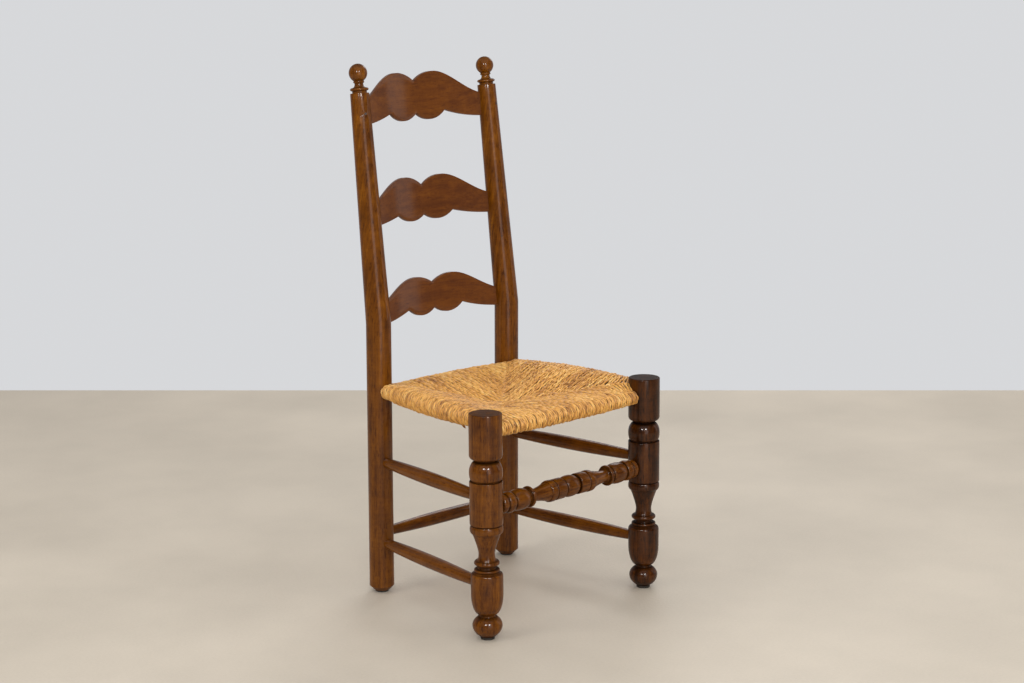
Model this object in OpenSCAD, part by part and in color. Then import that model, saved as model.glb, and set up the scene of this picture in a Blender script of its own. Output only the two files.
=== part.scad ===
// Ladder-back dining chair: turned front legs, kinked back posts, three bowed slats, a woven rush seat.
// The chair faces -Y and stands on z = 0. Left and right are as seen from in front: left is -X.

/* [Plan] */
// Distance between the front leg axes at the floor
front_span = 453; // [400:1:560]
// Distance between the back post axes below the kink
back_span = 363.5; // [320:0.5:460]
// Distance from the front leg axes to the back post axes at the floor
leg_depth = 365.5; // [320:0.5:450]

/* [Front legs] */
// Height of the front legs
leg_h = 450; // [420:1:560]
// Diameter of the two plain blocks of the leg
leg_d = 65; // [54:0.5:80]
// Backward lean of the front legs, in degrees
leg_rake = 0.67; // [0:0.01:2]
// Rounding of the leg's top rim
rim_r = 2.5; // [1:0.5:6]
// Diameter of the ball foot
foot_d = 59; // [48:0.5:70]
// Height of the ball foot's widest line above the floor
foot_mid_h = 28; // [24:0.5:34]
// Height of the ankle's lower edge
ankle_h = 46.5; // [44:0.5:50]
// Diameter of the ankle under the bulb
ankle_d = 33.6; // [28:0.2:40]
// Height of the ankle's upper edge, where the bulb begins
bulb_low_h = 50.5; // [50:0.5:54]
// Diameter of the bulb
bulb_d = 63.6; // [52:0.2:78]
// Height where the bulb reaches its full diameter
bulb_full_h = 92; // [80:0.5:94]
// Height of the bulb's upper edge
bulb_top_h = 127.5; // [122:0.5:129]
// Height of the sloped shoulder's top
shoulder_h = 136.5; // [134:0.5:137]
// Diameter of the small ring on the shoulder
shoulder_ring_d = 50.4; // [44:0.2:56]
// Diameter of the waist over the shoulder ring
waist_d = 33; // [28:0.2:40]
// Height of the collar bead's widest line
collar_h = 153.7; // [152:0.1:156]
// Diameter of the collar bead
collar_d = 50.2; // [44:0.2:56]
// Height of the vase's narrowest line
vase_low_h = 173; // [170:0.5:176]
// Diameter of the vase at its narrowest
vase_d = 31.8; // [27:0.2:38]
// Height of the vase's top, under the ring bead
vase_top_h = 212.5; // [208:0.5:214]
// Height of the lower block's bottom edge
block_low_h = 231; // [230:0.5:234]
// Height of the lower block's top edge
block_top_h = 316.5; // [310:0.5:318]
// Height of the round bead's widest line
bead_mid_h = 334; // [330:0.5:338]
// Height of the upper block's bottom edge
top_block_h = 358.5; // [357:0.5:362]
// Diameter of the narrow neck under the upper block
neck_d = 39; // [32:0.5:48]

/* [Back posts] */
// Diameter of the posts below the kink
post_d = 51.4; // [42:0.2:62]
// Diameter of the posts at the top shoulder
post_top_d = 38.8; // [34:0.2:48]
// Height of the kink
kink_h = 568; // [520:1:640]
// Length of the leaning upper part of the post
upper_len = 466.5; // [440:0.5:560]
// Backward lean of the upper part, in degrees
back_lean = 6.8; // [0:0.1:12]
// Inward lean of the upper part, in degrees
in_lean = 0.68; // [0:0.02:1.5]
// Width of the chamfer at the post's foot
foot_chamfer = 9; // [4:0.5:12]

/* [Finials] */
// Diameter of the finial's ball
ball_d = 37.4; // [30:0.2:46]
// Height of the ball's centre over the post's shoulder
ball_h = 40.3; // [36:0.1:50]
// Diameter of the finial's collar ring
finial_collar_d = 37.6; // [32:0.2:46]
// Diameter of the groove under the collar ring
finial_groove_d = 29.6; // [24:0.2:34]
// Diameter of the neck under the ball
finial_neck_d = 17.6; // [14:0.2:24]
// Diameter of the finial's dowel
dowel_d = 12; // [8:0.5:16]
// Length of the finial's dowel
dowel_len = 15; // [10:0.5:40]

/* [Back slats] */
// Height of the top edge's centre notch up the slope above the kink: top, middle, lower slat
slat_notch = [483.7, 266.5, 62.8]; // [40:0.1:520]
// Depth of each slat at its centre, from the notch to the lower cusp
slat_depth = [65.8, 58.6, 51.2]; // [40:0.1:90]
// Rise of the two humps above the notch
hump_rise = [19.4, 20.8, 16.2]; // [4:0.1:28]
// Distance of the humps from the centre
hump_x = 50.5; // [30:0.5:60]
// Drop of the top edge from the notch to the slat's ends
wing_drop = [36.4, 31.1, 32.3]; // [10:0.1:45]
// Drop of the two lower lobes under the centre cusp
lobe_drop = [15, 13.2, 14]; // [3:0.1:20]
// Distance of the lobes from the centre
lobe_x = 36; // [20:0.5:45]
// Distance of the outer cusps from the centre
cusp_x = 74.5; // [60:0.5:95]
// Drop of the lower edge from the centre cusp to the slat's ends
wing_low = [16.5, 12.9, 17.6]; // [0:0.1:24]
// Thickness of the slats
slat_t = 10; // [6:0.5:16]
// Bow of each slat behind the line between the posts
slat_bow = [36.4, 37.9, 30.9]; // [15:0.1:60]
// Depth of the slat's ends past the post axis
slat_past = 3; // [0:0.5:6]
// Distance of the pegs from the post axis, towards the slat
peg_in = 3; // [1:0.5:5]
// Height of the pegs' heads over the post's top radius
peg_proud = 1.4; // [0.6:0.1:2]
// Diameter of the pegs that lock the top slat
peg_d = 5; // [3:0.5:8]
// Length of the pegs
peg_len = 27; // [16:0.5:32]

/* [Stretchers] */
// Height of the upper side stretchers
side_upper_h = 280; // [274:1:300]
// Height of the lower side stretchers
side_lower_h = 107; // [96:1:112]
// Height of the back stretcher
back_stretcher_h = 126; // [126:1:180]
// Height of the turned front stretcher
front_stretcher_h = 262.5; // [250:0.5:264]
// Diameter of a plain stretcher at its middle
stretcher_mid_d = 28; // [22:0.2:36]
// Diameter of a plain stretcher at its ends
stretcher_end_d = 20.6; // [14:0.2:25]
// Diameter of the front stretcher's beads
spindle_d = 43; // [36:0.5:52]
// Diameter of the front stretcher's grooves
spindle_groove_d = 32; // [26:0.5:38]
// Diameter of the front stretcher's two necks
spindle_neck_d = 25.2; // [20:0.2:30]
// Diameter of the front stretcher's tenons
spindle_tenon_d = 20; // [14:0.5:24]

/* [Seat] */
// Height of the front seat rail
front_rail_h = 412; // [400:1:440]
// Height of the side seat rails
side_rail_h = 430; // [420:1:440]
// Height of the back seat rail
back_rail_h = 421; // [405:1:440]
// Diameter of the front and back rails at their middle
cross_rail_d = 24; // [18:0.5:32]
// Diameter of the side rails at their middle
side_rail_d = 30; // [20:0.5:34]
// Diameter of every rail at its ends
rail_end_d = 18; // [16.5:0.5:22]
// Diameter of the rails' tenons
rail_tenon_d = 16; // [12:0.5:16.5]
// Thickness of a layer of rush
rush_t = 5; // [3:0.5:7]
// Height of the rush at the seat's centre
rush_centre_h = 405; // [398:1:425]
// Distance of the packing from the seams of the weave
seam_margin = 20; // [14:1:30]
// Thickness of the woven seat at its centre
rush_centre_t = 16; // [10:1:20]

/* [Joinery] */
// Wood left between the bottom of a bore and a bore that crosses it
bore_wall = 2; // [1:0.5:4]
// Free space at the bottom of every bore
glue_room = 1; // [0.5:0.5:3]
// Radial clearance of round tenons, dowels and pegs
tenon_fit = 0.05; // [0.02:0.01:0.2]
// Clearance round the slats' ends
slat_fit = 0.1; // [0.05:0.01:0.3]
// Clearance between the rush and the wood
rush_fit = 0.3; // [0.1:0.1:1]

/* [Foot glides] */
// Diameter of the glides
glide_d = 28; // [20:0.5:30]
// Thickness of the glides
glide_t = 4.5; // [3:0.5:7]
// Diameter of the glide's nail
nail_d = 3; // [2:0.5:4]
// Length of the glide's nail
nail_len = 18; // [10:1:30]

/* [Hidden] */
$fn = 96;

LEFT = -1;
RIGHT = 1;
TOP = 0;
MIDDLE = 1;
LOWER = 2;

walnut = [0.36, 0.19, 0.08];
dark_walnut = [0.27, 0.13, 0.06];
straw = [0.78, 0.58, 0.30];
pale_straw = [0.85, 0.72, 0.45];
glide_brown = [0.10, 0.08, 0.07];

// ---- Curves of a turned profile, as lists of [radius, height] ----

// Quarter of an ellipse that leaves a square to the axis and reaches b along the axis
function out_curve(a, b, n = 8) =
  [for (i = [0:n]) let (t = 90 * i / n)
    [a[0] + (b[0] - a[0]) * sin(t), a[1] + (b[1] - a[1]) * (1 - cos(t))]];

// Quarter of an ellipse that leaves a along the axis and reaches b square to it
function up_curve(a, b, n = 8) =
  [for (i = [0:n]) let (t = 90 * i / n)
    [a[0] + (b[0] - a[0]) * (1 - cos(t)), a[1] + (b[1] - a[1]) * sin(t)]];

// Bead from radius r0 at z0 to radius r1 at z1, widest at zm
function bead(r0, z0, rm, zm, r1, z1, n = 8) =
  concat(out_curve([r0, z0], [rm, zm], n), up_curve([rm, zm], [r1, z1], n));

// Ball about the axis, cut off at radius r0 below and r1 above, with its own height each way
function ball(r, zc, low, high, r0, r1, n = 12) =
  concat(
    [for (i = [0:n]) let (t = -acos(r0 / r) * (1 - i / n)) [r * cos(t), zc + low * sin(t)]],
    [for (i = [1:n]) let (t = acos(r1 / r) * i / n) [r * cos(t), zc + high * sin(t)]]);

// Flare that widens slowly at first; power 1 is a plain cone
function flare(a, b, power, n = 10) =
  [for (i = [0:n]) let (s = i / n) [a[0] + (b[0] - a[0]) * pow(s, power), a[1] + (b[1] - a[1]) * s]];

// The same profile walked the other way along the axis
function turned_over(profile) =
  [for (i = [len(profile) - 1:-1:0]) [profile[i][0], -profile[i][1]]];

// ---- Places shared by the pieces ----

leg_r = leg_d / 2;
post_r = post_d / 2;
post_top_r = post_top_d / 2;
bulb_r = bulb_d / 2;

// Depths of tenons in the legs and posts, short enough to clear the thickest tenon that crosses them
bore_end = bore_wall + glue_room;
leg_tenon = leg_r - max(stretcher_end_d, spindle_tenon_d) / 2 - bore_end;
post_tenon = post_r - stretcher_end_d / 2 - bore_end;
rail_leg_tenon = leg_r - rail_tenon_d / 2 - bore_end;
rail_post_tenon = post_r - rail_tenon_d / 2 - bore_end;

// Depth of the finial's dowel, short enough to clear the top slat's end
dowel_depth = min(dowel_len, upper_len - slat_end_top(TOP) - bore_end);

// The front leg's profile in its own upright frame; the foot runs below the floor and is cut level
bead_r = leg_r + 0.2;
leg_profile = concat(
  [[0, 0]],
  ball(foot_d / 2, foot_mid_h, foot_mid_h - 2.5, 22, 10, ankle_d / 2),
  bead(ankle_d / 2, ankle_h, ankle_d / 2 - 1, (ankle_h + bulb_low_h) / 2, ankle_d / 2, bulb_low_h, 4),
  out_curve([ankle_d / 2, bulb_low_h], [bulb_r, bulb_full_h], 12),
  up_curve([bulb_r, bulb_top_h], [bulb_r - 3.5, bulb_top_h + 5.5], 6),
  [[shoulder_ring_d / 2 - 1.5, shoulder_h]],
  bead(shoulder_ring_d / 2 - 1, shoulder_h + 0.5, shoulder_ring_d / 2, shoulder_h + 3,
    shoulder_ring_d / 2 - 2.5, shoulder_h + 5.5, 5),
  up_curve([waist_d / 2 + 1.5, shoulder_h + 6], [waist_d / 2, shoulder_h + 8.5], 4),
  out_curve([waist_d / 2, collar_h - 6], [waist_d / 2 + 1.5, collar_h - 5], 3),
  bead(collar_d / 2 - 5.5, collar_h - 4.5, collar_d / 2, collar_h, collar_d / 2 - 5.5, collar_h + 5),
  out_curve([collar_d / 2 - 6, collar_h + 6], [vase_d / 2, vase_low_h], 8),
  flare([vase_d / 2, vase_low_h], [leg_r - 4.6, vase_top_h], 1.3, 12),
  bead(leg_r - 4, vase_top_h + 0.5, leg_r, vase_top_h + 8.5, leg_r - 3.2, block_low_h - 1.5),
  [[leg_r - 3.2, block_low_h - 0.8]],
  out_curve([leg_r - 1.4, block_low_h], [leg_r, block_low_h + 1.4], 4),
  up_curve([leg_r, block_top_h - 1.4], [leg_r - 1.4, block_top_h], 4),
  [[leg_r - 4, block_top_h + 0.8], [leg_r - 4, block_top_h + 1.8]],
  bead(leg_r - 3.6, block_top_h + 2.4, bead_r, bead_mid_h, neck_d / 2 + 0.8, top_block_h - 2.6, 10),
  [[neck_d / 2, top_block_h - 2], [neck_d / 2, top_block_h]],
  out_curve([neck_d / 2 + 1, top_block_h], [leg_r, top_block_h + 9], 8),
  up_curve([leg_r, leg_h - rim_r], [leg_r - rim_r, leg_h], 6),
  [[0, leg_h]]
);

// The finial's profile, from the post's shoulder up
collar_z = 7.6;
finial_profile = concat(
  [[0, 0], [finial_groove_d / 2, 0], [finial_groove_d / 2, collar_z - 3.6]],
  bead(finial_groove_d / 2 + 0.4, collar_z - 3.2, finial_collar_d / 2, collar_z,
    finial_collar_d / 2 - 4.4, collar_z + 3.2, 6),
  out_curve([finial_collar_d / 2 - 5, collar_z + 3.4], [finial_neck_d / 2, ball_h - 22], 7),
  out_curve([finial_neck_d / 2, ball_h - 20.8], [finial_neck_d / 2 + 0.8, ball_h - 20.2], 2),
  bead(finial_neck_d / 2 + 1, ball_h - 20, finial_neck_d / 2 + 2.4, ball_h - 18.4,
    finial_neck_d / 2 + 1.6, ball_h - 16.9, 4),
  ball(ball_d / 2, ball_h, ball_d / 2, ball_d / 2, finial_neck_d / 2 + 1.6, 0)
);

// Front and back ends of the whole chair: the turned legs, the finials and the top slat's bowed back face
front_y = min([for (p = leg_profile) p[1] * sin(leg_rake) - p[0] * cos(leg_rake)]);
finial_back = max([for (p = finial_profile)
  (upper_len + p[1]) * sin(back_lean) + p[0] * cos(back_lean)]);
slat_back = max([for (i = [TOP, MIDDLE, LOWER], p = upper_edge(i, slat_half(i)))
  p[1] * sin(back_lean)
    + (slat_bow[i] + slat_t / 2 - arc_fall(p[0], bow_r(i) + slat_t / 2)) * cos(back_lean)]);
back_y = leg_depth + max(finial_back, slat_back);
y_shift = -(front_y + back_y) / 2;

// Centre of a front leg or a back post at height z
function leg_at(side, z) = [side * front_span / 2, z * tan(leg_rake), z];
function post_at(side, z) = [side * back_span / 2, leg_depth, z];

module in_frame() translate([0, y_shift, 0]) children();

// Turns children from +Z along the line from a towards b
module along(a, b) {
  d = b - a;
  translate(a) rotate([0, acos(d[2] / norm(d)), atan2(d[1], d[0])]) children();
}

// Carries children to the top of a post's lower part, leaning with its upper part
module on_lean(side) translate(post_at(side, kink_h)) rotate([-back_lean, -side * in_lean, 0]) children();

// Carries children to the leaning plane between the two posts
module on_back() translate([0, leg_depth, kink_h]) rotate([-back_lean, 0, 0]) children();

// ---- Round pieces between two sticks ----

// Length between the ends of a piece whose ends sink by sink_a and sink_b into round sticks
function rod_len(a, b, ra, rb, sink_a, sink_b) = norm(b - a) - (ra - sink_a) - (rb - sink_b);

// A rod that swells from end_d to mid_d, with tenons at its ends; it starts at z = 0
module swelled_rod(len, end_d, mid_d, tenon_d, tenon_a, tenon_b, grow = 0, n = 24) {
  body = len - tenon_a - tenon_b;
  rotate_extrude() polygon(concat(
    [[0, 0], [tenon_d / 2 + grow, 0]], tenon_d < end_d ? [[tenon_d / 2 + grow, tenon_a]] : [],
    [for (i = [0:n]) let (s = 2 * i / n - 1)
      [end_d / 2 + (mid_d - end_d) / 2 * (1 - s * s) + grow, tenon_a + body * i / n]],
    tenon_d < end_d ? [[tenon_d / 2 + grow, len - tenon_b]] : [],
    [[tenon_d / 2 + grow, len], [0, len]]));
}

// A bore for a tenon that reaches sink into a stick of radius r, centred on a and pointing at b
module tenon_bore(a, b, r, d, sink)
  along(a, b) translate([0, 0, r - sink - glue_room])
    cylinder(d = d + 2 * tenon_fit, h = sink + glue_room + r);

// A plain side stretcher from the front leg to the back post
module side_stretcher(side, z) in_frame() {
  a = leg_at(side, z);
  b = post_at(side, z);
  along(a, b) translate([0, 0, leg_r - leg_tenon])
    swelled_rod(rod_len(a, b, leg_r, post_r, leg_tenon, post_tenon),
      stretcher_end_d, stretcher_mid_d, stretcher_end_d, leg_tenon, post_tenon);
}

module back_stretcher() in_frame() color(dark_walnut) {
  a = post_at(LEFT, back_stretcher_h);
  b = post_at(RIGHT, back_stretcher_h);
  along(a, b) translate([0, 0, post_r - post_tenon])
    swelled_rod(rod_len(a, b, post_r, post_r, post_tenon, post_tenon),
      stretcher_end_d, stretcher_mid_d, stretcher_end_d, post_tenon, post_tenon);
}

// ---- Turned front stretcher ----

spindle_r = spindle_d / 2;
groove_r = spindle_groove_d / 2;
spindle_half = front_span / 2 - leg_r + leg_tenon;

// Half of the stretcher, from its centre bead outwards
spindle_side = concat(
  up_curve([spindle_r + 0.5, 0], [groove_r, 17.5], 8),
  [[groove_r, 20.5]],
  out_curve([spindle_r - 2, 21], [spindle_r - 0.2, 23], 4),
  up_curve([spindle_r - 0.2, 43], [spindle_r - 1.6, 45.2], 4),
  [[spindle_r - 2.2, 46.4]],
  out_curve([spindle_r - 1.4, 47.4], [spindle_r + 0.4, 51], 5),
  up_curve([spindle_r + 0.4, 56], [spindle_r - 2.6, 63], 5),
  [for (p = turned_over(flare([spindle_neck_d / 2, 0], [spindle_r - 3, 35], 1.6, 9)))
    [p[0], 99.5 + p[1]]],
  [[spindle_neck_d / 2, 104]],
  up_curve([spindle_neck_d / 2, 104], [spindle_neck_d / 2 + 3.4, 108], 4),
  bead(spindle_r - 3.4, 108.4, spindle_r - 0.3, 111.8, spindle_r - 3, 115.6, 5),
  [[groove_r - 0.4, 118], [groove_r - 0.4, 120.4]],
  bead(groove_r, 121, spindle_r, 139, groove_r + 0.6, 158, 10),
  [[groove_r, 159.6]],
  bead(groove_r + 1, 160.4, spindle_r - 0.4, 169, groove_r + 1.4, 178, 8),
  [[groove_r + 0.4, 179.2]],
  bead(groove_r + 0.6, 180, spindle_r - 2.4, 186.5, spindle_tenon_d / 2 + 3, 193.6, 6)
);
shoulder_x = front_span / 2 - leg_r;
spindle_profile = concat(
  [for (p = spindle_side) if (p[1] < shoulder_x) p],
  [[spindle_tenon_d / 2, shoulder_x], [spindle_tenon_d / 2, spindle_half]]
);

module front_stretcher() in_frame() color(walnut)
  translate([0, leg_at(RIGHT, front_stretcher_h)[1], front_stretcher_h]) rotate([0, 90, 0])
    rotate_extrude() polygon(concat(
      [[0, -spindle_half]], turned_over(spindle_profile), spindle_profile, [[0, spindle_half]]));

// ---- Seat rails ----

module rail_rod(a, b, ra, rb, sink_a, sink_b, mid_d, grow = 0)
  along(a, b) translate([0, 0, ra - sink_a])
    swelled_rod(rod_len(a, b, ra, rb, sink_a, sink_b),
      rail_end_d, mid_d, rail_tenon_d, sink_a, sink_b, grow);

module front_rail_rod(grow = 0)
  rail_rod(leg_at(LEFT, front_rail_h), leg_at(RIGHT, front_rail_h), leg_r, leg_r,
    rail_leg_tenon, rail_leg_tenon, cross_rail_d, grow);

module back_rail_rod(grow = 0)
  rail_rod(post_at(LEFT, back_rail_h), post_at(RIGHT, back_rail_h), post_r, post_r,
    rail_post_tenon, rail_post_tenon, cross_rail_d, grow);

module side_rail_rod(side, grow = 0)
  rail_rod(leg_at(side, side_rail_h), post_at(side, side_rail_h), leg_r, post_r,
    rail_leg_tenon, rail_post_tenon, side_rail_d, grow);

module seat_rail_front() in_frame() color(dark_walnut) front_rail_rod();
module seat_rail_back() in_frame() color(dark_walnut) back_rail_rod();
module seat_rail_side(side) in_frame() color(dark_walnut) side_rail_rod(side);

// ---- Legs ----

module leg_bores(side) {
  tenon_bore(leg_at(side, front_rail_h), leg_at(-side, front_rail_h), leg_r, rail_tenon_d, rail_leg_tenon);
  tenon_bore(leg_at(side, side_rail_h), post_at(side, side_rail_h), leg_r, rail_tenon_d, rail_leg_tenon);
  tenon_bore(leg_at(side, front_stretcher_h), leg_at(-side, front_stretcher_h),
    leg_r, spindle_tenon_d, leg_tenon);
  for (z = [side_upper_h, side_lower_h])
    tenon_bore(leg_at(side, z), post_at(side, z), leg_r, stretcher_end_d, leg_tenon);
}

module nail_bore(at) translate([at[0], at[1], 0]) cylinder(d = nail_d + 2 * tenon_fit, h = nail_len + glue_room);

module front_leg(side) in_frame() color(walnut) difference() {
  translate(leg_at(side, 0)) rotate([-leg_rake, 0, 0]) rotate_extrude() polygon(leg_profile);
  translate(leg_at(side, 0)) translate([-leg_d, -leg_d, -leg_d]) cube([2 * leg_d, 2 * leg_d, leg_d + glide_t]);
  leg_bores(side);
  nail_bore(leg_at(side, 0));
}

// ---- Back posts ----

// Half-space below or above the plane in which the two parts of a post meet
module mitre_block(side, up)
  translate(post_at(side, kink_h)) rotate([-back_lean / 2, -side * in_lean / 2, 0])
    translate([-post_d, -post_d, up ? 0 : -2 * post_d]) cube(2 * post_d);

taper = (post_top_r - post_r) / upper_len;
overrun = post_r / 2;

module post_blank(side) {
  difference() {
    translate(post_at(side, 0)) rotate_extrude() polygon([
      [0, glide_t], [post_r - foot_chamfer, glide_t], [post_r, glide_t + foot_chamfer],
      [post_r, kink_h + overrun], [0, kink_h + overrun]]);
    mitre_block(side, true);
  }
  difference() {
    on_lean(side) rotate_extrude() polygon(concat(
      [[0, -overrun], [post_r - taper * overrun, -overrun]],
      up_curve([post_top_r - taper * 1.5, upper_len - 1.5], [post_top_r - 1.5, upper_len], 4),
      [[0, upper_len]]));
    mitre_block(side, false);
  }
}

module post_bores(side) {
  tenon_bore(post_at(side, side_rail_h), leg_at(side, side_rail_h), post_r, rail_tenon_d, rail_post_tenon);
  tenon_bore(post_at(side, back_rail_h), post_at(-side, back_rail_h), post_r, rail_tenon_d, rail_post_tenon);
  tenon_bore(post_at(side, back_stretcher_h), post_at(-side, back_stretcher_h),
    post_r, stretcher_end_d, post_tenon);
  for (z = [side_upper_h, side_lower_h])
    tenon_bore(post_at(side, z), leg_at(side, z), post_r, stretcher_end_d, post_tenon);
}

module back_post(side) in_frame() color(walnut) difference() {
  post_blank(side);
  post_bores(side);
  nail_bore(post_at(side, 0));
  for (i = [TOP, MIDDLE, LOWER]) slat_end(side, i, slat_fit);
  peg(side, tenon_fit, glue_room);
  on_lean(side) translate([0, 0, upper_len - dowel_depth - glue_room])
    cylinder(d = dowel_d + 2 * tenon_fit, h = dowel_depth + 2 * glue_room);
}

// ---- Finials ----

module finial(side) in_frame() color(walnut) on_lean(side) translate([0, 0, upper_len]) {
  rotate_extrude() polygon(finial_profile);
  translate([0, 0, -dowel_depth]) cylinder(d = dowel_d, h = dowel_depth + collar_z);
}

// ---- Back slats ----

// Half the distance between the post axes at a height up the slope
function half_gap(w) = back_span / 2 - w * sin(in_lean);

// Half the span of slat i between the post axes, and the radius of its bow
function slat_half(i) = half_gap(slat_low(i));
function bow_r(i) = (pow(slat_half(i), 2) + pow(slat_bow[i], 2)) / (2 * slat_bow[i]);

function slat_top(i) = slat_notch[i];
function slat_low(i) = slat_notch[i] - slat_depth[i];
function slat_end_top(i) = slat_top(i) - wing_drop[i];
function slat_end_low(i) = slat_low(i) - wing_low[i];

// Fall of a circle of radius r at distance x from its level point
function arc_fall(x, r) = r - sqrt(r * r - x * x);

// The same for an arc that falls by h over the distance c
function arc_rise(x, c, h) = arc_fall(x, (c * c + h * h) / (2 * h));

// Half outline of slat i from the centre notch out to x = reach, and back along the lower edge
function upper_edge(i, reach) = concat(
  [for (k = [0:8]) let (x = hump_x * k / 8)
    [x, slat_top(i) + hump_rise[i] - arc_rise(hump_x - x, hump_x, hump_rise[i])]],
  [for (k = [1:16]) let (s = k / 16)
    [hump_x + (reach - hump_x) * s,
     slat_end_top(i) + (hump_rise[i] + wing_drop[i]) * (1 + cos(180 * s)) / 2]]
);

function lower_edge(i, reach) =
  let (cusp = slat_low(i) - lobe_drop[i] + arc_rise(cusp_x - lobe_x, lobe_x, lobe_drop[i]))
  concat(
    [for (k = [0:12]) let (x = cusp_x * k / 12)
      [x, slat_low(i) - lobe_drop[i] + arc_rise(abs(x - lobe_x), lobe_x, lobe_drop[i])]],
    [for (k = [1:8]) let (s = k / 8)
      [cusp_x + (reach - cusp_x) * s,
       slat_end_low(i) + arc_rise((reach - cusp_x) * (1 - s), reach - cusp_x, cusp - slat_end_low(i))]]
  );

function reversed(list) = [for (k = [len(list) - 1:-1:0]) list[k]];
function mirrored(list) = [for (p = list) [-p[0], p[1]]];

// Bowed sheet that slat i is cut from, with its thickness along Y and its height along Z
module bowed_sheet(i, grow) {
  r = bow_r(i);
  low = slat_low(i) - max(wing_low[i], lobe_drop[i]) - slat_t;
  h = slat_top(i) + hump_rise[i] + slat_t - low;
  translate([0, slat_bow[i] - r, low]) difference() {
    cylinder(r = r + slat_t / 2 + grow, h = h);
    translate([0, 0, -1]) cylinder(r = r - slat_t / 2 - grow, h = h + 2);
    translate([-2 * r, -4 * r, -1]) cube([4 * r, 4 * r, h + 2]);
  }
}

// The part of the sheet inside an outline drawn in the plane of the back
module cut_sheet(i, grow, outline) intersection() {
  bowed_sheet(i, grow);
  translate([0, 3 * slat_bow[i], 0]) rotate([90, 0, 0]) linear_extrude(height = 6 * slat_bow[i])
    polygon(outline);
}

module back_slat(i) in_frame() color(walnut) {
  reach = slat_half(i) + slat_past;
  difference() {
    on_back() cut_sheet(i, 0, concat(
      upper_edge(i, reach), reversed(lower_edge(i, reach)),
      mirrored(lower_edge(i, reach)), mirrored(reversed(upper_edge(i, reach)))));
    if (i == TOP) for (side = [LEFT, RIGHT]) peg(side, tenon_fit, 0);
  }
}

// The mortise cutter for one end of slat i: half of the slat with clearance all round
module slat_end(side, i, grow) {
  reach = slat_half(i) + slat_past;
  end_x = side * (reach + glue_room);
  on_back() cut_sheet(i, grow, concat(
    [for (p = upper_edge(i, reach)) [side * p[0], p[1] + grow]],
    [[end_x, slat_end_top(i) + grow], [end_x, slat_end_low(i) - grow]],
    [for (p = reversed(lower_edge(i, reach))) [side * p[0], p[1] - grow]]));
}

// ---- Pegs ----

// Angle at which the slat meets the post, seen from above
peg_turn = asin(slat_half(TOP) / bow_r(TOP));
peg_w = (slat_end_top(TOP) + slat_end_low(TOP)) / 2;

module peg(side, grow, extra)
  on_back() translate([side * half_gap(peg_w), 0, peg_w]) rotate([0, 0, side * peg_turn])
    rotate([-90, 0, 0]) translate([-side * peg_in, 0, -post_top_r - peg_proud])
      cylinder(d = peg_d + 2 * grow, h = peg_len + extra);

module slat_pegs() in_frame() color(dark_walnut) for (side = [LEFT, RIGHT]) peg(side, 0, 0);

// ---- Rush seat ----

front_rail_y = leg_at(RIGHT, front_rail_h)[1];
centre_y = (front_rail_y + leg_depth) / 2;
corner_front = front_span / 2;
corner_back = back_span / 2;
side_mid_x = (corner_front + corner_back) / 2;
cross_wrap = cross_rail_d / 2 + rush_t;
side_wrap = side_rail_d / 2 + rush_t;

// Points round the woven slab, on the rail axes: [x, y, underside, top]
corner_low = side_rail_h - rail_end_d / 2 - rush_t;
corner_high = side_rail_h + rush_t / 2;
slab_ring = [
  [-corner_front, front_rail_y, corner_low, corner_high],
  [0, front_rail_y, front_rail_h - cross_wrap + 2, front_rail_h + cross_wrap - 2],
  [corner_front, front_rail_y, corner_low, corner_high],
  [side_mid_x, centre_y, side_rail_h - side_wrap + 2, side_rail_h + side_wrap - 2],
  [corner_back, leg_depth, corner_low, corner_high],
  [0, leg_depth, back_rail_h - cross_wrap + 2, back_rail_h + cross_wrap - 2],
  [-corner_back, leg_depth, corner_low, corner_high],
  [-side_mid_x, centre_y, side_rail_h - side_wrap + 2, side_rail_h + side_wrap - 2]
];

// Dished slab between the rails, sunk towards its centre, with its two faces drawn in by inset
module dished_slab(inset) {
  n = len(slab_ring);
  polyhedron(
    points = concat(
      [for (p = slab_ring) [p[0], p[1], p[2] + inset]], [for (p = slab_ring) [p[0], p[1], p[3] - inset]],
      [[0, centre_y, rush_centre_h - rush_centre_t + inset], [0, centre_y, rush_centre_h - inset]]),
    faces = concat(
      [for (k = [0:n - 1]) [k, (k + 1) % n, 2 * n]],
      [for (k = [0:n - 1]) [n + (k + 1) % n, n + k, 2 * n + 1]],
      [for (k = [0:n - 1]) [k, n + k, n + (k + 1) % n]],
      [for (k = [0:n - 1]) [k, n + (k + 1) % n, (k + 1) % n]]));
}

module rush_seat() in_frame() color(straw) difference() {
  union() {
    front_rail_rod(rush_t);
    back_rail_rod(rush_t);
    for (side = [LEFT, RIGHT]) side_rail_rod(side, rush_t);
    dished_slab(0);
  }
  front_rail_rod(rush_fit);
  back_rail_rod(rush_fit);
  for (side = [LEFT, RIGHT]) {
    side_rail_rod(side, rush_fit);
    translate(leg_at(side, 0)) rotate([-leg_rake, 0, 0]) cylinder(r = leg_r + rush_fit, h = leg_h + 20);
    translate(post_at(side, 0)) cylinder(r = post_r + rush_fit, h = kink_h);
  }
  stuffing(rush_fit);
}

// Triangle with its corners moved away from its middle by 3 times grow
function grown(tri, grow) = let (mid = (tri[0] + tri[1] + tri[2]) / 3)
  [for (p = tri) p + (p - mid) / norm(p - mid) * 3 * grow];

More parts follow.
